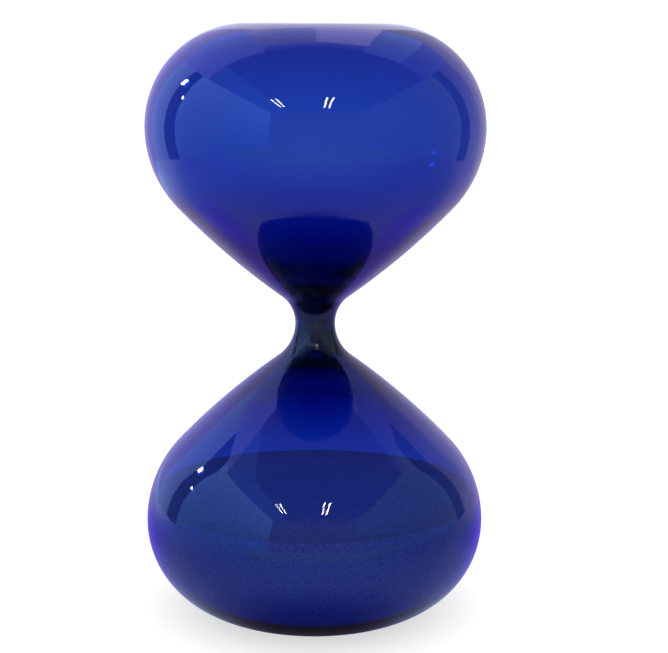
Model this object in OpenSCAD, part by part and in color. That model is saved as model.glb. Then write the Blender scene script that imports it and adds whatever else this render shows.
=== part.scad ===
// Frameless sand timer of blown glass: two drop-shaped bulbs fused to a thick neck piece with a
// fine bore, the sand charge, and the glass plug that closes the filling hole.
// Millimetres. The origin is the centre of the flat end that the timer stands on, and +Z is up.
//
// A bulb's outline is a chain of arcs, each tangent to the next: shoulder, crown, flank and fillet.
// A point on an arc is named by its heading, the direction in which the outline runs there:
// 0 is straight outwards, 90 straight up, and 180 straight inwards.

/* [Glass outline] */
// Height between the two flat ends
height = 165; // [160:1:170]
// Widest diameter of the lower bulb
lower_bulb_d = 95.6; // [94:0.2:97]
// Widest diameter of the upper bulb
upper_bulb_d = 93.4; // [92:0.2:95]
// Shoulder radius of the lower bulb, from its flat end to its widest line
lower_shoulder_r = 26; // [25:0.5:27.5]
// Shoulder radius of the upper bulb, from its flat end to its widest line
upper_shoulder_r = 28; // [26:0.5:28.5]
// Crown radius, from the widest line to the flank
crown_r = 31.5; // [30.5:0.5:32.5]
// Heading where the crown meets the flank, in degrees
crown_end = 133.5; // [132:0.5:135]
// Heading where the flank meets the neck's fillet, in degrees
flank_end = 143.8; // [143:0.2:145]
// Outer diameter of the waist
waist_d = 11.2; // [10.4:0.2:12]

/* [Walls] */
// Wall thickness in the middle of the flat end that the timer stands on
base_wall = 2.5; // [1.8:0.1:4]
// Wall thickness in the middle of the upper flat end
end_wall = 1.8; // [1.6:0.1:2.2]
// Wall thickness at the widest line
bulb_wall = 1.4; // [1.2:0.1:1.6]
// Wall thickness where a bulb is fused to the neck piece
seam_wall = 3.6; // [3:0.1:4]
// How late the lower bulb's wall thickens towards its seam, as a power of the height
lower_growth = 5; // [4:0.5:6]
// How late the upper bulb's wall thickens towards its seam, as a power of the height
upper_growth = 3; // [2.5:0.5:4]

/* [Neck] */
// Length of the neck piece between its two fused seams
neck_length = 27.4; // [26.6:0.2:28.4]
// Diameter of the bore that meters the sand
bore_d = 1.2; // [1:0.1:1.6]
// Length of the bore
bore_length = 13.8; // [12:0.2:15]
// Diameter of the lower funnel's mouth
lower_mouth_d = 4.8; // [4:0.2:6]
// Depth of the lower funnel's mouth beyond its seam
lower_mouth_depth = 2.8; // [2:0.1:3.2]
// Diameter of the lower funnel's throat
lower_throat_d = 4.4; // [3.6:0.2:4.8]
// Depth of the lower funnel's throat beyond its seam
lower_throat_depth = 4.8; // [4:0.1:5.2]
// Diameter of the upper funnel's mouth
upper_mouth_d = 10.8; // [9.6:0.2:12]
// Depth of the upper funnel's mouth beyond its seam
upper_mouth_depth = 1.9; // [1.4:0.1:2.4]
// Diameter of the upper funnel's throat
upper_throat_d = 7.2; // [6:0.2:8.4]
// Depth of the upper funnel's throat beyond its seam
upper_throat_depth = 4.3; // [3.6:0.1:5]

/* [Filling hole] */
// Diameter of the hole the sand is filled through
filling_d = 5; // [4:0.5:7]
// Diameter of the shallow recess round the filling hole
recess_d = 16; // [12:1:24]
// Depth of that recess
recess_depth = 0.6; // [0.4:0.1:0.8]
// Diameter of the plug's button inside the recess
button_d = 9; // [8:0.5:11]
// Height of the plug's domed button
button_h = 0.45; // [0.3:0.05:0.5]

/* [Sand] */
// Height of the level sand surface above the base
sand_level = 34; // [28:0.5:40]
// Clearance between the sand charge and the glass
sand_gap = 0.1; // [0.05:0.05:0.2]

/* [Hidden] */
waist_z = height / 2;
seam_z = waist_z - neck_length / 2;
glass_colour = [0.1, 0.18, 0.55];
neck_colour = [0.05, 0.05, 0.16];
sand_colour = [0.75, 0.71, 0.64];
round_steps = 5;  // degrees of heading that one straight step of an outline covers
$fn = 96;

// Unit vector from an arc's centre to its point of that heading
function spoke(heading) = [sin(heading), -cos(heading)];

// The four arcs of a bulb's outside, from its flat end at z = 0 to the waist, each as
// [centre, radius, first heading, last heading]. The flank and fillet radii are the two that
// bring the outline to the waist exactly. The fillet curves the other way, so its radius is negative.
function outside_arcs(bulb_r, shoulder_r) =
    let (
        crown_centre = [bulb_r - crown_r, shoulder_r],
        crown_spoke = spoke(crown_end),
        flank_spoke = spoke(flank_end),
        flank_turn = flank_spoke - crown_spoke,
        fillet_turn = flank_spoke - spoke(90),
        reach = [waist_d / 2, waist_z] - crown_centre - crown_r * crown_spoke,
        flank_r = cross(reach, fillet_turn) / cross(flank_turn, fillet_turn),
        fillet_r = cross(flank_turn, reach) / cross(flank_turn, fillet_turn),
        flank_centre = crown_centre + (crown_r - flank_r) * crown_spoke
    )
    [
        [[bulb_r - shoulder_r, shoulder_r], shoulder_r, 0, 90],
        [crown_centre, crown_r, 90, crown_end],
        [flank_centre, flank_r, crown_end, flank_end],
        [flank_centre + (flank_r + fillet_r) * flank_spoke, -fillet_r, flank_end, 90]
    ];

lower_arcs = outside_arcs(lower_bulb_d / 2, lower_shoulder_r);
upper_arcs = outside_arcs(upper_bulb_d / 2, upper_shoulder_r);

// Heading at which an arc, made smaller by inset, passes height z
function heading_at(arc, z, inset = 0) = acos((arc[0].y - z) / (arc[1] - inset));

// Headings from first to last in even steps of about round_steps degrees
function headings(first, last) =
    let (steps = ceil(abs(last - first) / round_steps) + 1)
    [for (i = [0:steps]) first + (last - first) * i / steps];

// Points of the outside of an arc between two headings
function outside(arc, first, last) =
    [for (h = headings(first, last)) arc[0] + arc[1] * spoke(h)];

// How a bulb's wall thickens away from its widest line: the thickness in the middle of its flat
// end, and the power of the height with which it grows towards the seam
lower_walls = [base_wall, lower_growth];
upper_walls = [end_wall, upper_growth];

// Wall thickness at a height above the bulb's flat end, thinnest at the widest line
function wall_at(arcs, walls, z) =
    let (widest_z = arcs[0][1])
    z < widest_z
        ? bulb_wall + (walls[0] - bulb_wall) * pow(1 - z / widest_z, 4)
        : bulb_wall + (seam_wall - bulb_wall)
            * pow(min((z - widest_z) / (seam_z - widest_z), 1), walls[1]);

// Points of the inside of an arc between two headings, gap further in than the wall
function inside(arcs, walls, i, first, last, gap) =
    [
        for (h = headings(first, last))
            let (point = arcs[i][0] + arcs[i][1] * spoke(h))
            point - (wall_at(arcs, walls, point.y) + gap) * spoke(h)
    ];

// Outline of a bulb's outside from the axis to the seam
function bulb_outside(arcs) =
    concat(
        [[0, 0]],
        outside(arcs[0], 0, 90),
        outside(arcs[1], 90, crown_end),
        outside(arcs[2], crown_end, heading_at(arcs[2], seam_z))
    );

// Outline of a bulb's cavity from the axis to the seam
function bulb_inside(arcs, walls) =
    concat(
        [[0, walls[0]]],
        inside(arcs, walls, 0, 0, 90, 0),
        inside(arcs, walls, 1, 90, crown_end, 0),
        inside(arcs, walls, 2, crown_end, heading_at(arcs[2], seam_z, seam_wall), 0)
    );

// Outline of the neck piece's outside from a seam to the waist
function neck_outside(arcs) =
    concat(
        outside(arcs[2], heading_at(arcs[2], seam_z), flank_end),
        outside(arcs[3], flank_end, 90)
    );

// The same chain of points with each inner corner rounded off between the middles of its sides
function eased(points) =
    concat(
        [points[0]],
        [
            for (i = [1:len(points) - 2])
                let (
                    start = (points[i - 1] + points[i]) / 2,
                    end = (points[i] + points[i + 1]) / 2
                )
                for (t = [0.125:0.25:0.875])
                    start * pow(1 - t, 2) + 2 * points[i] * t * (1 - t) + end * t * t
        ],
        [points[len(points) - 1]]
    );

// Outline of the neck piece's inside from a seam to the bore: mouth, throat and bore
function neck_inside(cavity_end, mouth_d, mouth_depth, throat_d, throat_depth) =
    eased([
        cavity_end,
        [mouth_d / 2, seam_z + mouth_depth],
        [throat_d / 2, seam_z + throat_depth],
        [bore_d / 2, waist_z - bore_length / 2]
    ]);

function last_of(points) = points[len(points) - 1];
function reversed(points) = [for (i = [len(points) - 1:-1:0]) points[i]];

// The same points, turned upside down about the waist
function flipped(points) = [for (p = points) [p.x, height - p.y]];

lower_inside = bulb_inside(lower_arcs, lower_walls);
upper_inside = bulb_inside(upper_arcs, upper_walls);
lower_funnel = neck_inside(
    last_of(lower_inside), lower_mouth_d, lower_mouth_depth, lower_throat_d, lower_throat_depth
);
upper_funnel = neck_inside(
    last_of(upper_inside), upper_mouth_d, upper_mouth_depth, upper_throat_d, upper_throat_depth
);

module bulb(arcs, cavity) {
    rotate_extrude()
        polygon(concat(bulb_outside(arcs), reversed(cavity)));
}

module lower_bulb() {
    color(glass_colour)
        difference() {
            bulb(lower_arcs, lower_inside);
            translate([0, 0, -1])
                cylinder(d = recess_d, h = recess_depth + 1);
            translate([0, 0, -1])
                cylinder(d = filling_d, h = base_wall + 2);
        }
}

module upper_bulb() {
    color(glass_colour)
        translate([0, 0, height])
            mirror([0, 0, 1])
                bulb(upper_arcs, upper_inside);
}

module neck() {
    color(neck_colour)
        rotate_extrude()
            polygon(concat(
                neck_outside(lower_arcs),
                reversed(flipped(neck_outside(upper_arcs))),
                flipped(upper_funnel),
                reversed(lower_funnel)
            ));
}

module sand() {
    top = heading_at(lower_arcs[1], sand_level, bulb_wall + sand_gap);
    color(sand_colour)
        rotate_extrude()
            polygon(concat(
                [[0, base_wall + sand_gap]],
                inside(lower_arcs, lower_walls, 0, 0, 90, sand_gap),
                inside(lower_arcs, lower_walls, 1, 90, top, sand_gap),
                [[0, sand_level]]
            ));
}

// The plug fills the hole and ends in a domed button that stays above the base
module filling_seal() {
    button_r = button_d / 2;
    dome_r = (button_r * button_r + button_h * button_h) / (2 * button_h);
    dome_turn = asin(button_r / dome_r);
    dome_centre = [0, recess_depth - button_h + dome_r];
    color(glass_colour)
        rotate_extrude()
            polygon(concat(
                [for (i = [0:6]) dome_centre + dome_r * spoke(dome_turn * i / 6)],
                [
                    [filling_d / 2, recess_depth],
                    [filling_d / 2, base_wall],
                    [0, base_wall]
                ]
            ));
}

lower_bulb();
neck();
upper_bulb();
sand();
filling_seal();
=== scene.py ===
import math
import random

import bmesh
import bpy
from mathutils import Euler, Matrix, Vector, noise


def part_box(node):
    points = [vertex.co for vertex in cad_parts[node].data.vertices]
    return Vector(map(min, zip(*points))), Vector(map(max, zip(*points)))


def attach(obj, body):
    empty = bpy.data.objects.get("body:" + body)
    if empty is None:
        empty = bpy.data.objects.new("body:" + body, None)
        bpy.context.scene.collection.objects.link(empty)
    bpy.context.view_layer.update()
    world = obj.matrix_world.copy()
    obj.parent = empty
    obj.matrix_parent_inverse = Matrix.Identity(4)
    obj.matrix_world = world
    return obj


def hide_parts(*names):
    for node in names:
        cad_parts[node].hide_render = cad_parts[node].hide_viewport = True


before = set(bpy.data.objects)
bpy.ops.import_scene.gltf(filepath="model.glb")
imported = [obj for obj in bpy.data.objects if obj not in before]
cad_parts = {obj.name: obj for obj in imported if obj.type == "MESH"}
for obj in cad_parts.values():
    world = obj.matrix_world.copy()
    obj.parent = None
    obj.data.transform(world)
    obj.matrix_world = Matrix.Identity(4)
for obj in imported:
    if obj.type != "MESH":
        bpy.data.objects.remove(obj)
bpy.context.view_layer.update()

# ---------------------------------------------------------------------------------------------
# Sizes, in metres. Places come from the frame; the rest are the glass's own driving dimensions.
# ---------------------------------------------------------------------------------------------

lower_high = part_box("lower_bulb")[1]
upper_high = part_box("upper_bulb")[1]
seal_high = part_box("filling_seal")[1]
sand_low, sand_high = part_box("sand")

HEIGHT = upper_high.z
WAIST_Z = HEIGHT / 2
LOWER_SEAM_Z = lower_high.z
LOWER_BULB_R = lower_high.x
UPPER_BULB_R = upper_high.x
LOWER_SHOULDER_R = 0.026
UPPER_SHOULDER_R = 0.028
CROWN_R = 0.0315
CROWN_END = 133.5  # heading in degrees: 0 is straight outwards, 90 up, 180 inwards
FLANK_END = 143.8
WAIST_R = 0.0056

# Wall thicknesses
BASE_WALL = seal_high.z  # middle of the lower flat end, where the plug ends flush
END_WALL = 0.0018  # middle of the upper flat end
BULB_WALL = 0.0014  # at the widest line
SEAM_WALL = 0.0036
END_GROWTH = 4  # power with which a wall thickens towards its flat end
# A bulb's wall at its flat end, and the power with which its wall thickens towards the seam
LOWER_WALLS = (BASE_WALL, 5)
UPPER_WALLS = (END_WALL, 3)

# Mouth and throat of each funnel in the neck, as (radius, depth beyond the seam)
LOWER_FUNNEL = ((0.0024, 0.0028), (0.0022, 0.0048))
UPPER_FUNNEL = ((0.0054, 0.0019), (0.0036, 0.0043))
FUNNEL_EASE = 1  # a radius too large for any corner, so each is rounded as far as it can be
BORE_R = 0.0006
BORE_LENGTH = 0.0138

HOLE_R = 0.0025
RECESS_R = 0.008
RECESS_DEPTH = 0.0006
BUTTON_R = 0.0045
BUTTON_H = 0.00045
PLUG_R = HOLE_R - 0.00005  # clears the hole's wall by a hair, so the two surfaces don't coincide
POLISHED_EDGE = 0.0002  # radius left on an edge by fire polishing

SAND_LEVEL = sand_high.z
SAND_GAP = sand_low.z - BASE_WALL
SAND_SLOPE = 0.0185  # the sand was levelled by eye, and stands a little higher towards +Y
GRAIN_SPACING = 0.00075  # between the points of the sand's surface
GRAIN_DEPTH = 0.00003  # the deepest that a point lies below the true surface
GRAIN_SEED = 7
UNEVEN_DEPTH = 0.00012  # of the shallow waves in the sand's top
UNEVEN_SCALE = 90.0  # waves per metre

# How finely round shapes are divided
GLASS_SEGMENTS = 240
SAND_SEGMENTS = 384
PLUG_SEGMENTS = 96
DOME_STEPS = 10
ARC_STEPS = (40, 22, 14, 26)  # shoulder, crown, flank and fillet
SEAM_STEPS = 12  # the part of the flank's inside that ends at the seam
CORNER_STEPS = 4
CORNER_SHARE = 0.48  # of a straight step, the most that one rounded corner takes
FUNNEL_STEPS = 10
LONGEST_STEP = 0.004


# ---------------------------------------------------------------------------------------------
# Outlines: lists of (radius, height) points
# ---------------------------------------------------------------------------------------------


def spoke(heading):
    """Unit vector from an arc's centre to its point of that heading."""
    turn = math.radians(heading)
    return Vector((math.sin(turn), -math.cos(turn)))


def outside_arcs(bulb_r, shoulder_r):
    """The shoulder, crown, flank and fillet of a bulb's outside, from its flat end to the waist,
    each as (centre, radius, first heading, last heading). The fillet curves the other way, so its
    radius is negative."""
    crown_centre = Vector((bulb_r - CROWN_R, shoulder_r))
    crown_spoke, flank_spoke = spoke(CROWN_END), spoke(FLANK_END)
    flank_turn = flank_spoke - crown_spoke
    fillet_turn = flank_spoke - spoke(90)
    reach = Vector((WAIST_R, WAIST_Z)) - crown_centre - CROWN_R * crown_spoke
    flank_r = reach.cross(fillet_turn) / flank_turn.cross(fillet_turn)
    fillet_r = flank_turn.cross(reach) / flank_turn.cross(fillet_turn)
    flank_centre = crown_centre + (CROWN_R - flank_r) * crown_spoke
    fillet_centre = flank_centre + (flank_r + fillet_r) * flank_spoke
    return [
        (Vector((bulb_r - shoulder_r, shoulder_r)), shoulder_r, 0, 90),
        (crown_centre, CROWN_R, 90, CROWN_END),
        (flank_centre, flank_r, CROWN_END, FLANK_END),
        (fillet_centre, -fillet_r, FLANK_END, 90),
    ]


def heading_at(arc, z, inset=0.0):
    """Heading at which an arc, made smaller by inset, passes height z."""
    centre, radius = arc[:2]
    return math.degrees(math.acos((centre.y - z) / (radius - inset)))


def wall_at(arcs, walls, z):
    """Wall thickness at a height above the bulb's flat end, with no kinks."""
    flat_end, growth = walls
    widest_z = arcs[0][1]
    if z < widest_z:
        return BULB_WALL + (flat_end - BULB_WALL) * (1 - z / widest_z) ** END_GROWTH
    t = min((z - widest_z) / (LOWER_SEAM_Z - widest_z), 1)
    return BULB_WALL + (SEAM_WALL - BULB_WALL) * t**growth


def arc_points(arc, steps, inset_at=None, last=None):
    """Points along an arc; inset_at(z) gives how far inside it they lie."""
    centre, radius, start, end = arc
    end = end if last is None else last
    points = []
    for i in range(steps + 1):
        out = spoke(start + (end - start) * i / steps)
        point = centre + radius * out
        inset = inset_at(point.y) if inset_at else 0
        points.append(tuple(point - inset * out))
    return points


def outside(arcs):
    """A bulb's outside from its flat end's edge to the waist."""
    points = []
    for arc, steps in zip(arcs, ARC_STEPS):
        points += arc_points(arc, steps)[1 if points else 0:]
    return points


def inside(arcs, walls, gap=0.0):
    """A bulb's cavity from its flat floor's edge to the seam."""

    def inset(z):
        return wall_at(arcs, walls, z) + gap

    last = heading_at(arcs[2], LOWER_SEAM_Z, SEAM_WALL + gap)
    points = arc_points(arcs[0], ARC_STEPS[0], inset)
    points += arc_points(arcs[1], ARC_STEPS[1], inset)[1:]
    points += arc_points(arcs[2], SEAM_STEPS, inset, last)[1:]
    return points


def rounded(points, radius, steps=CORNER_STEPS):
    """The same outline with each inner corner eased by a curve, as an arc of that radius would."""
    out = [points[0]]
    for before, corner, after in zip(points, points[1:], points[2:]):
        a, b, c = Vector(before), Vector(corner), Vector(after)
        to_a, to_c = (a - b).normalized(), (c - b).normalized()
        half = to_a.angle(to_c) / 2
        room = CORNER_SHARE * min((a - b).length, (c - b).length)
        cut = min(radius / math.tan(half), room)
        start, end = b + cut * to_a, b + cut * to_c
        for i in range(steps + 1):
            t = i / steps
            out.append(tuple(start * (1 - t) ** 2 + 2 * b * t * (1 - t) + end * t * t))
    out.append(points[-1])
    return out


def flipped(points):
    """The same outline, turned upside down about the waist and run backwards."""
    return [(r, HEIGHT - z) for r, z in reversed(points)]


def divided(points, longest):
    """The same outline with no straight step longer than that."""
    out = [points[0]]
    for (r0, z0), (r1, z1) in zip(points, points[1:]):
        n = max(1, math.ceil(math.hypot(r1 - r0, z1 - z0) / longest))
        out += [(r0 + (r1 - r0) * i / n, z0 + (z1 - z0) * i / n) for i in range(1, n + 1)]
    return out


def neck_inside(cavity_end, funnel):
    """From the seam through the funnel's mouth and throat to the middle of the bore."""
    (mouth_r, mouth_depth), (throat_r, throat_depth) = funnel
    chain = [
        cavity_end,
        (mouth_r, LOWER_SEAM_Z + mouth_depth),
        (throat_r, LOWER_SEAM_Z + throat_depth),
        (BORE_R, WAIST_Z - BORE_LENGTH / 2),
    ]
    return rounded(chain, FUNNEL_EASE, FUNNEL_STEPS) + [(BORE_R, WAIST_Z)]


lower_arcs = outside_arcs(LOWER_BULB_R, LOWER_SHOULDER_R)
upper_arcs = outside_arcs(UPPER_BULB_R, UPPER_SHOULDER_R)
lower_cavity = inside(lower_arcs, LOWER_WALLS)
upper_cavity = inside(upper_arcs, UPPER_WALLS)
lower_funnel = neck_inside(lower_cavity[-1], LOWER_FUNNEL)
upper_funnel = neck_inside(upper_cavity[-1], UPPER_FUNNEL)


# ---------------------------------------------------------------------------------------------
# Meshes
# ---------------------------------------------------------------------------------------------


def added(name, mesh):
    """A new object in the scene that shows the mesh."""
    thing = bpy.data.objects.new(name, mesh)
    bpy.context.scene.collection.objects.link(thing)
    return thing


def lathe(name, outline, segments):
    """Closed surface of revolution about Z. An outline starts and ends on the axis."""
    mesh = bpy.data.meshes.new(name)
    bm = bmesh.new()
    rings = []
    for r, z in outline:
        if r == 0:
            rings.append([bm.verts.new((0, 0, z))])
            continue
        turns = [2 * math.pi * k / segments for k in range(segments)]
        rings.append([bm.verts.new((r * math.cos(t), r * math.sin(t), z)) for t in turns])
    for a, b in zip(rings, rings[1:]):
        for k in range(segments):
            n = (k + 1) % segments
            if len(a) == 1:
                bm.faces.new((a[0], b[n], b[k]))
            elif len(b) == 1:
                bm.faces.new((a[k], a[n], b[0]))
            else:
                bm.faces.new((a[k], a[n], b[n], b[k]))
    bmesh.ops.recalc_face_normals(bm, faces=bm.faces)
    bm.to_mesh(mesh)
    bm.free()
    mesh.polygons.foreach_set("use_smooth", [True] * len(mesh.polygons))
    return added(name, mesh)


def glass_envelope():
    """The whole glass as one closed surface: outside, recess, filling hole and cavity. The seams
    between bulbs and neck are fused, so light crosses them without a break."""
    flat_end_r = lower_arcs[0][0].x
    foot_shadow = [
        (HOLE_R, BASE_WALL / 2),
        (HOLE_R, RECESS_DEPTH),
        (RECESS_R, RECESS_DEPTH),
        (RECESS_R, 0),
        ((RECESS_R + flat_end_r) / 2, 0),
    ]
    flat_floor = [(HOLE_R, BASE_WALL / 2), (HOLE_R, BASE_WALL), (flat_end_r / 2, BASE_WALL)]
    outer = (
        rounded(foot_shadow, POLISHED_EDGE)
        + outside(lower_arcs)
        + flipped(outside(upper_arcs))[1:]
        + [(0, HEIGHT)]
    )
    inner = (
        rounded(flat_floor, POLISHED_EDGE)
        + lower_cavity
        + lower_funnel[1:]
        + flipped(upper_cavity + upper_funnel[1:])[1:]
        + [(0, HEIGHT - END_WALL)]
    )
    outline = list(reversed(divided(outer, LONGEST_STEP))) + divided(inner, LONGEST_STEP)[1:]
    return lathe("glass_envelope", outline, GLASS_SEGMENTS)


def filling_plug():
    """The glass plug in the filling hole, ending in a low domed button inside the recess."""
    dome = spherical_cap(BUTTON_R, RECESS_DEPTH, RECESS_DEPTH - BUTTON_H)
    shank = [
        (BUTTON_R, RECESS_DEPTH),
        (PLUG_R, RECESS_DEPTH),
        (PLUG_R, BASE_WALL),
        (PLUG_R / 2, BASE_WALL),
    ]
    outline = dome + rounded(shank, POLISHED_EDGE)[1:] + [(0, BASE_WALL)]
    return lathe("filling_plug", outline, PLUG_SEGMENTS)


def spherical_cap(edge_r, edge_z, pole_z):
    """Points from the pole on the axis out towards the edge of a shallow dome, without the edge."""
    rise = edge_z - pole_z
    dome_r = (edge_r**2 + rise**2) / (2 * rise)
    turn = math.degrees(math.asin(edge_r / dome_r))
    centre = Vector((0, pole_z + dome_r))
    return [tuple(centre + dome_r * spoke(turn * i / DOME_STEPS)) for i in range(DOME_STEPS)]


def sand_charge():
    """Nearly level sand against the glass. Its points lie at small random depths below the true
    surface, so the surface is rough all over, and the top is a little uneven."""
    highest = SAND_LEVEL + SAND_SLOPE * LOWER_BULB_R
    wall = [p for p in inside(lower_arcs, LOWER_WALLS, SAND_GAP) if p[1] < highest]
    edge_r = wall[-1][0]
    outline = [(0, BASE_WALL + SAND_GAP)] + wall + [(edge_r, highest), (0, highest)]
    sand = lathe("sand_charge", divided(outline, GRAIN_SPACING), SAND_SEGMENTS)
    grains = random.Random(GRAIN_SEED)
    middle = Vector((0, 0, SAND_LEVEL / 2))
    for vertex in sand.data.vertices:
        depth = GRAIN_DEPTH * grains.random()
        level = SAND_LEVEL + SAND_SLOPE * vertex.co.y
        if vertex.co.z < level:
            vertex.co += depth * (middle - vertex.co).normalized()
        else:
            ripple = noise.noise(vertex.co * UNEVEN_SCALE)
            vertex.co.z = level - depth - UNEVEN_DEPTH * (1 + ripple)
    sand.data.update()
    return sand


# ---------------------------------------------------------------------------------------------
# Materials
# ---------------------------------------------------------------------------------------------


def new_material(name):
    """A new material, with its nodes, its links and its surface shader."""
    material = bpy.data.materials.new(name)
    material.use_nodes = True
    nodes = material.node_tree.nodes
    return material, nodes, material.node_tree.links, nodes["Principled BSDF"]


ABSORBED = (2050.0, 1200.0, 350.0)  # per metre of glass, in red, green and blue
GLASS_IOR = 1.5

GRAINS_PER_METRE = 2600
DARK_GRAINS = 0.06  # their share of all grains
DARKEST, DARKISH, PALEST = (0.58, 0.55, 0.5), (0.65, 0.62, 0.57), (1, 1, 1)
GRAIN_BUMP = 0.15
GRAIN_HEIGHT = 0.0002


def cobalt_glass():
    """Clear, smooth surfaces; the colour is all absorption, so thick glass is darker."""
    material, nodes, links, surface = new_material("cobalt_glass")
    surface.inputs["Base Color"].default_value = (1, 1, 1, 1)
    surface.inputs["Roughness"].default_value = 0
    surface.inputs["IOR"].default_value = GLASS_IOR
    surface.inputs["Transmission Weight"].default_value = 1
    volume = nodes.new("ShaderNodeVolumeAbsorption")
    density = max(ABSORBED)
    volume.inputs["Density"].default_value = density
    volume.inputs["Color"].default_value = (*[1 - a / density for a in ABSORBED], 1)
    links.new(volume.outputs["Volume"], nodes["Material Output"].inputs["Volume"])
    return material


def sand_material():
    """Pale quartz grains. Each grain has its own tone, and a few are darker than the rest."""
    material, nodes, links, surface = new_material("sand_grains")
    place = nodes.new("ShaderNodeTexCoord")
    grains = nodes.new("ShaderNodeTexVoronoi")
    grains.inputs["Scale"].default_value = GRAINS_PER_METRE
    tones = nodes.new("ShaderNodeValToRGB")
    stops = tones.color_ramp.elements
    stops[0].color = (*DARKEST, 1)
    stops[1].color = (*PALEST, 1)
    stops.new(DARK_GRAINS).color = (*DARKISH, 1)
    split = nodes.new("ShaderNodeSeparateColor")
    bump = nodes.new("ShaderNodeBump")
    bump.inputs["Strength"].default_value = GRAIN_BUMP
    bump.inputs["Distance"].default_value = GRAIN_HEIGHT
    links.new(place.outputs["Object"], grains.inputs["Vector"])
    links.new(grains.outputs["Color"], split.inputs["Color"])
    links.new(split.outputs["Red"], tones.inputs["Fac"])
    links.new(tones.outputs["Color"], surface.inputs["Base Color"])
    links.new(grains.outputs["Distance"], bump.inputs["Height"])
    links.new(bump.outputs["Normal"], surface.inputs["Normal"])
    surface.inputs["Roughness"].default_value = 0.9
    return material


def emitter(name, colour, low, high):
    """A glowing material whose strength runs from low to high along the panel's rise."""
    material = bpy.data.materials.new(name)
    material.use_nodes = True
    nodes, links = material.node_tree.nodes, material.node_tree.links
    nodes.clear()
    emission = nodes.new("ShaderNodeEmission")
    emission.inputs["Color"].default_value = (*colour, 1)
    emission.inputs["Strength"].default_value = low
    if high != low:
        place = nodes.new("ShaderNodeTexCoord")
        split = nodes.new("ShaderNodeSeparateXYZ")
        ramp = nodes.new("ShaderNodeMapRange")
        ramp.inputs["To Min"].default_value = low
        ramp.inputs["To Max"].default_value = high
        links.new(place.outputs["UV"], split.inputs["Vector"])
        links.new(split.outputs["Y"], ramp.inputs["Value"])
        links.new(ramp.outputs["Result"], emission.inputs["Strength"])
    output = nodes.new("ShaderNodeOutputMaterial")
    links.new(emission.outputs["Emission"], output.inputs["Surface"])
    return material


# ---------------------------------------------------------------------------------------------
# The object
# ---------------------------------------------------------------------------------------------

cobalt = cobalt_glass()
glass = glass_envelope()
glass.data.materials.append(cobalt)
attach(glass, "root")
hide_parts("lower_bulb", "neck", "upper_bulb")

plug = filling_plug()
plug.data.materials.append(cobalt)
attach(plug, "root")
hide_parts("filling_seal")

sand = sand_charge()
sand.data.materials.append(sand_material())
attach(sand, "root")
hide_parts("sand")

# ---------------------------------------------------------------------------------------------
# Studio: sizes in metres, from the timer's axis and its foot
# ---------------------------------------------------------------------------------------------

WHITE = (1, 1, 1)

FLOOR_REACH = 4.0
FLOOR_ALBEDO = 0.5
FLOOR_GLOW = 0.4  # the floor is a white sheet that is lit from below as well
FLOOR_SEEN = 0.62  # and that glow as the camera sees it, overexposed
DAYLIGHT = 1.25
SURROUND = FLOOR_ALBEDO * DAYLIGHT + FLOOR_GLOW  # so the floor's far edge can't be seen
GAP_GLOW = (0.14, 0.19, 0.3)  # what the glass mirrors through the gaps of the tent

# The tent round the timer, which only the glass mirrors
SIDE, FRONT, BACK, TOP = 0.42, -0.75, 0.45, 0.465
LEFT_END, RIGHT_END = 0.08, 0.125  # where the side walls end
LEFT_BACK, RIGHT_BACK = 0.185, 0.225  # where the side walls of the back begin
BACK_LOW, BACK_HIGH = -0.02, 0.48
BACK_MIDDLE = 0.1  # half the width of the back wall's middle part
CEILING = 0.03  # where the back half of the ceiling begins
FRONT_SPLIT = -0.27  # between the two parts of its front half
STRIP_LEFT, STRIP_RIGHT, STRIP_BACK = -0.12, 0.11, 0.09
FAR_RIGHT = 0.24
TABLE_DROP = 0.001  # the mirrored table is just under the floor
TABLE_SHADOW_MIDDLE = (0, -0.032, 0)  # the middle of the painted shadow of the timer on the mirrored table

TUBES = ((-0.255, -0.58), (-0.225, -0.58), (0.062, -0.62), (0.095, -0.62))  # x, and front end
TUBES_BACK = -0.41
TUBE_WIDTH = 0.012
TUBE_DROP = 0.003  # below the ceiling
TUBE_GLARE = 26
LAMP_GLARE = 40

# Camera: level with the top face, 2.6 heights away, looking slightly down
CAMERA_DISTANCE = 2.6 * HEIGHT
CAMERA_TILT = 11.035
CAMERA_YAW = 0.707
CAMERA_ROLL = 0.3
CAMERA_LENS = 83.8
CAMERA_SENSOR = 36
CAMERA_NEAREST = 0.01


def sheet(name, corner, side, rise, material):
    """A flat object with four corners. Its UV runs from 0 to 1 along the side and the rise."""
    a, b, c = Vector(corner), Vector(side), Vector(rise)
    mesh = bpy.data.meshes.new(name)
    mesh.from_pydata([a, a + b, a + b + c, a + c], [], [(0, 1, 2, 3)])
    for place, uv in zip(mesh.uv_layers.new().data, ((0, 0), (1, 0), (1, 1), (0, 1))):
        place.uv = uv
    mesh.materials.append(material)
    return added(name, mesh)


def reflected_only(panel, lamp=False):
    """Keep a panel of the studio to mirror reflections in the glass, so it neither lights the
    scene nor stands in it. A lamp also shows in reflections from inside the glass."""
    panel.visible_camera = False
    panel.visible_diffuse = False
    panel.visible_transmission = lamp
    panel.visible_volume_scatter = False
    panel.visible_shadow = False


def reflected_panel(name, corner, side, rise, colour, low, high, lamp=False):
    """A glowing panel whose strength runs from low to high along its rise."""
    reflected_only(sheet(name, corner, side, rise, emitter(name, colour, low, high)), lamp)


def side_wall(name, x, y0, y1, colour, low, high):
    reflected_panel(name, (x, y0, 0), (0, y1 - y0, 0), (0, 0, TOP), colour, low, high)


def ceiling(name, x0, x1, y0, y1, colour, low, high):
    reflected_panel(name, (x0, y0, TOP), (x1 - x0, 0, 0), (0, y1 - y0, 0), colour, low, high)


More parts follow.
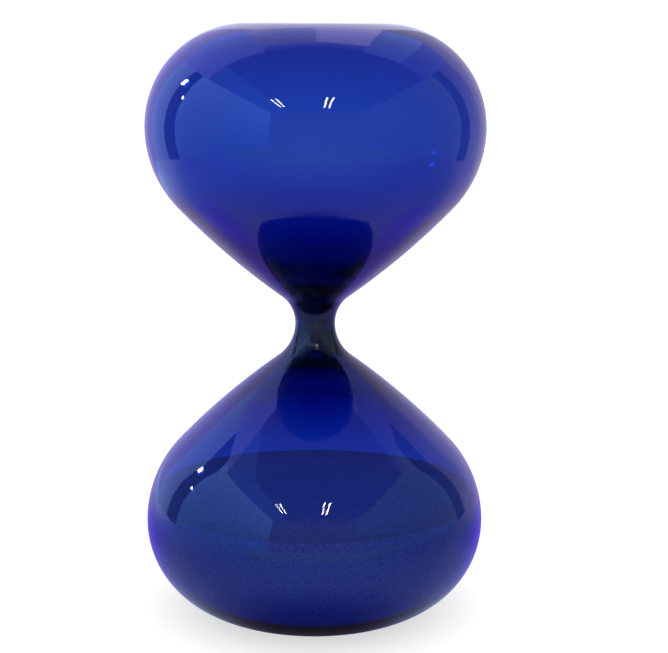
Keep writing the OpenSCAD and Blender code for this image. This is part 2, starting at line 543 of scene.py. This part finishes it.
def back_wall(name, x0, x1, colour, low, high):
    rise = (0, 0, BACK_HIGH - BACK_LOW)
    reflected_panel(name, (x0, BACK, BACK_LOW), (x1 - x0, 0, 0), rise, colour, low, high)


def upright_lamp(name, x, y0, y1, z0, z1):
    """An upright lamp whose light comes in along X."""
    corner, side, rise = (x, y0, z0), (0, y1 - y0, 0), (0, 0, z1 - z0)
    reflected_panel(name, corner, side, rise, WHITE, LAMP_GLARE, LAMP_GLARE, lamp=True)


def light_tent():
    """Dim tinted walls and ceiling, bluer to the left, and the bright tubes and lamps."""
    side_wall("left_wall", -SIDE, FRONT, LEFT_END, (0.23, 0.42, 1.0), 1.4, 2.8)
    side_wall("left_back", -SIDE, LEFT_BACK, BACK, (0.3, 0.43, 1.0), 1.7, 2.1)
    side_wall("right_wall", SIDE, FRONT, RIGHT_END, (0.4, 0.57, 0.9), 0.8, 0.95)
    side_wall("right_back", SIDE, RIGHT_BACK, BACK, (0.5, 0.5, 0.9), 1.0, 0.7)
    front, width, rise = (-SIDE, FRONT, 0), (2 * SIDE, 0, 0), (0, 0, TOP)
    reflected_panel("front_wall", front, width, rise, (0.7, 0.72, 1.0), 0.65, 0.5)

    def front_ceiling(name, x0, x1, colour, glow):
        ceiling(name, x0, x1, FRONT, CEILING, colour, glow, glow)

    front_ceiling("ceiling_front_left", -SIDE, FRONT_SPLIT, (0.2, 0.33, 1.0), 1.4)
    front_ceiling("ceiling_front", FRONT_SPLIT, SIDE, (0.36, 0.42, 1.0), 0.62)

    def back_ceiling(name, x0, x1, y0, colour, low, high):
        ceiling(name, x0, x1, y0, BACK, colour, low, high)

    back_ceiling("ceiling_left", -SIDE, STRIP_LEFT, CEILING, (0.29, 0.34, 1.0), 2.1, 2.1)
    strip = (STRIP_LEFT, STRIP_RIGHT, CEILING, STRIP_BACK)
    ceiling("ceiling_strip", *strip, (0.25, 0.3, 1.0), 1.0, 2.0)
    back_ceiling("ceiling_middle", STRIP_LEFT, 0, STRIP_BACK, (0.47, 0.46, 1.0), 1.6, 1.8)
    back_ceiling("ceiling_bright", 0, STRIP_RIGHT, STRIP_BACK, (0.52, 0.5, 1.0), 2.5, 2.0)
    back_ceiling("ceiling_right", STRIP_RIGHT, FAR_RIGHT, CEILING, (0.3, 0.42, 1.0), 1.6, 1.6)
    back_ceiling("ceiling_far_right", FAR_RIGHT, SIDE, CEILING, (0.29, 0.33, 1.0), 1.2, 1.2)
    back_wall("back_left", -SIDE, -BACK_MIDDLE, (0.46, 0.43, 1.0), 1.15, 1.45)
    back_wall("back_middle", -BACK_MIDDLE, BACK_MIDDLE, (0.66, 0.66, 1.0), 0.8, 1.8)
    back_wall("back_right", BACK_MIDDLE, SIDE, (0.56, 0.52, 0.85), 1.05, 0.95)

    for x, y in TUBES:
        corner = (x - TUBE_WIDTH / 2, y, TOP - TUBE_DROP)
        width, length = (TUBE_WIDTH, 0, 0), (0, TUBES_BACK - y, 0)
        reflected_panel("tube", corner, width, length, WHITE, TUBE_GLARE, TUBE_GLARE)
    upright_lamp("side_lamp", -1.07, 0.46, 0.49, 0.69, 0.79)
    upright_lamp("side_lamp", -1.07, 0.505, 0.535, 0.69, 0.79)
    upright_lamp("far_lamp", -3.3, 0.86, 1.03, 1.3, 1.43)


def table_glow():
    """The table's glow in reflections: a painted shadow of the timer, darkest under its front,
    bluer to the left than to the right, and paler in front and behind."""
    material = emitter("table_top", WHITE, 1, 1)
    nodes, links = material.node_tree.nodes, material.node_tree.links
    place = nodes.new("ShaderNodeTexCoord")
    split = nodes.new("ShaderNodeSeparateXYZ")
    shadow_distance = nodes.new("ShaderNodeVectorMath")
    shadow_distance.operation = "DISTANCE"
    shadow_distance.inputs[1].default_value = TABLE_SHADOW_MIDDLE
    links.new(place.outputs["Object"], split.inputs["Vector"])
    links.new(place.outputs["Object"], shadow_distance.inputs[0])

    def faded(value, start, end, before, after):
        """Colour that changes smoothly from before to after as the value goes from start to end."""
        ramp = nodes.new("ShaderNodeMapRange")
        ramp.interpolation_type = "SMOOTHSTEP"
        ramp.inputs["From Min"].default_value = start
        ramp.inputs["From Max"].default_value = end
        mix = nodes.new("ShaderNodeMix")
        mix.data_type = "RGBA"
        links.new(value, ramp.inputs["Value"])
        links.new(ramp.outputs["Result"], mix.inputs["Factor"])
        for socket, colour in ((mix.inputs["A"], before), (mix.inputs["B"], after)):
            if isinstance(colour, tuple):
                socket.default_value = (*colour, 1)
            else:
                links.new(colour, socket)
        return mix.outputs["Result"]

    x, y = split.outputs["X"], split.outputs["Y"]
    close = faded(y, -0.02, 0.045, (0.38, 0.43, 0.8), (0.26, 0.18, 1.3))
    left = faded(x, -0.22, -0.08, (0.36, 0.5, 1.55), close)
    beside = faded(x, 0.08, 0.2, left, (0.3, 0.34, 0.6))
    beyond = faded(x, -0.26, -0.13, (0.64, 0.8, 1.7), (0.5, 0.44, 0.9))
    behind = faded(y, 0.06, 0.17, beside, beyond)
    front = faded(y, -0.36, -0.12, (0.44, 0.62, 0.4), behind)
    # Painted shadow: the table darkens towards the spot under the timer's foot, as if the timer
    # shaded it
    foot_shadow = faded(shadow_distance.outputs["Value"], 0.01, 0.05, (0.06, 0.05, 0.1), front)
    links.new(foot_shadow, nodes["Emission"].inputs["Color"])
    return material


def mirrored_table():
    """The table as the glass mirrors it, inside the tent."""
    width, depth = (2 * SIDE, 0, 0), (0, BACK - FRONT, 0)
    table = sheet("table_top", (-SIDE, FRONT, 0), width, depth, table_glow())
    table.location.z = -TABLE_DROP
    reflected_only(table)


def floor_material():
    """A white sheet with a glow of its own, which is stronger as the camera sees it."""
    material, nodes, links, surface = new_material("floor")
    surface.inputs["Base Color"].default_value = (FLOOR_ALBEDO, FLOOR_ALBEDO, FLOOR_ALBEDO, 1)
    surface.inputs["Emission Color"].default_value = (*WHITE, 1)
    path = nodes.new("ShaderNodeLightPath")
    glow = nodes.new("ShaderNodeMapRange")
    glow.inputs["To Min"].default_value = FLOOR_GLOW
    glow.inputs["To Max"].default_value = FLOOR_SEEN
    links.new(path.outputs["Is Camera Ray"], glow.inputs["Value"])
    links.new(glow.outputs["Result"], surface.inputs["Emission Strength"])
    surface.inputs["Roughness"].default_value = 1
    surface.inputs["Specular IOR Level"].default_value = 0
    return material


def pale_floor():
    """The plain floor. Mirror reflections see the table top instead."""
    corner = (-FLOOR_REACH, -FLOOR_REACH, 0)
    width, depth = (2 * FLOOR_REACH, 0, 0), (0, 2 * FLOOR_REACH, 0)
    floor = sheet("floor", corner, width, depth, floor_material())
    floor.visible_glossy = False


def white_world():
    """A white surround. Mirror-like reflections off the glass see a dim room instead."""
    world = bpy.data.worlds.new("surround")
    bpy.context.scene.world = world
    world.use_nodes = True
    nodes, links = world.node_tree.nodes, world.node_tree.links
    path = nodes.new("ShaderNodeLightPath")
    mirrored = nodes.new("ShaderNodeMath")
    mirrored.operation = "SUBTRACT"
    mirrored.use_clamp = True
    links.new(path.outputs["Is Glossy Ray"], mirrored.inputs[0])
    links.new(path.outputs["Is Transmission Ray"], mirrored.inputs[1])
    light = nodes.new("ShaderNodeMix")
    light.inputs["A"].default_value = SURROUND
    light.inputs["B"].default_value = DAYLIGHT
    links.new(path.outputs["Is Diffuse Ray"], light.inputs["Factor"])
    colour = nodes.new("ShaderNodeMix")
    colour.data_type = "RGBA"
    links.new(mirrored.outputs["Value"], colour.inputs["Factor"])
    links.new(light.outputs["Result"], colour.inputs["A"])
    colour.inputs["B"].default_value = (*GAP_GLOW, 1)
    background = nodes["Background"]
    background.inputs["Strength"].default_value = 1
    links.new(colour.outputs["Result"], background.inputs["Color"])


def front_camera():
    camera = added("camera", bpy.data.cameras.new("camera"))
    camera.location = (0, -CAMERA_DISTANCE, HEIGHT)
    aim = Euler((math.radians(90 - CAMERA_TILT), 0, math.radians(-CAMERA_YAW))).to_matrix()
    roll = Euler((0, 0, math.radians(CAMERA_ROLL))).to_matrix()
    camera.rotation_euler = (aim @ roll).to_euler()
    camera.data.sensor_width = CAMERA_SENSOR
    camera.data.lens = CAMERA_LENS
    camera.data.clip_start = CAMERA_NEAREST
    return camera


pale_floor()
white_world()
light_tent()
mirrored_table()

scene = bpy.context.scene
scene.camera = front_camera()
scene.view_settings.view_transform = "Standard"
# Enough bounces for light to cross every wall, the sand's surface and the neck
scene.cycles.max_bounces = 32
scene.cycles.transmission_bounces = 32
scene.cycles.glossy_bounces = 16
scene.cycles.transparent_max_bounces = 16
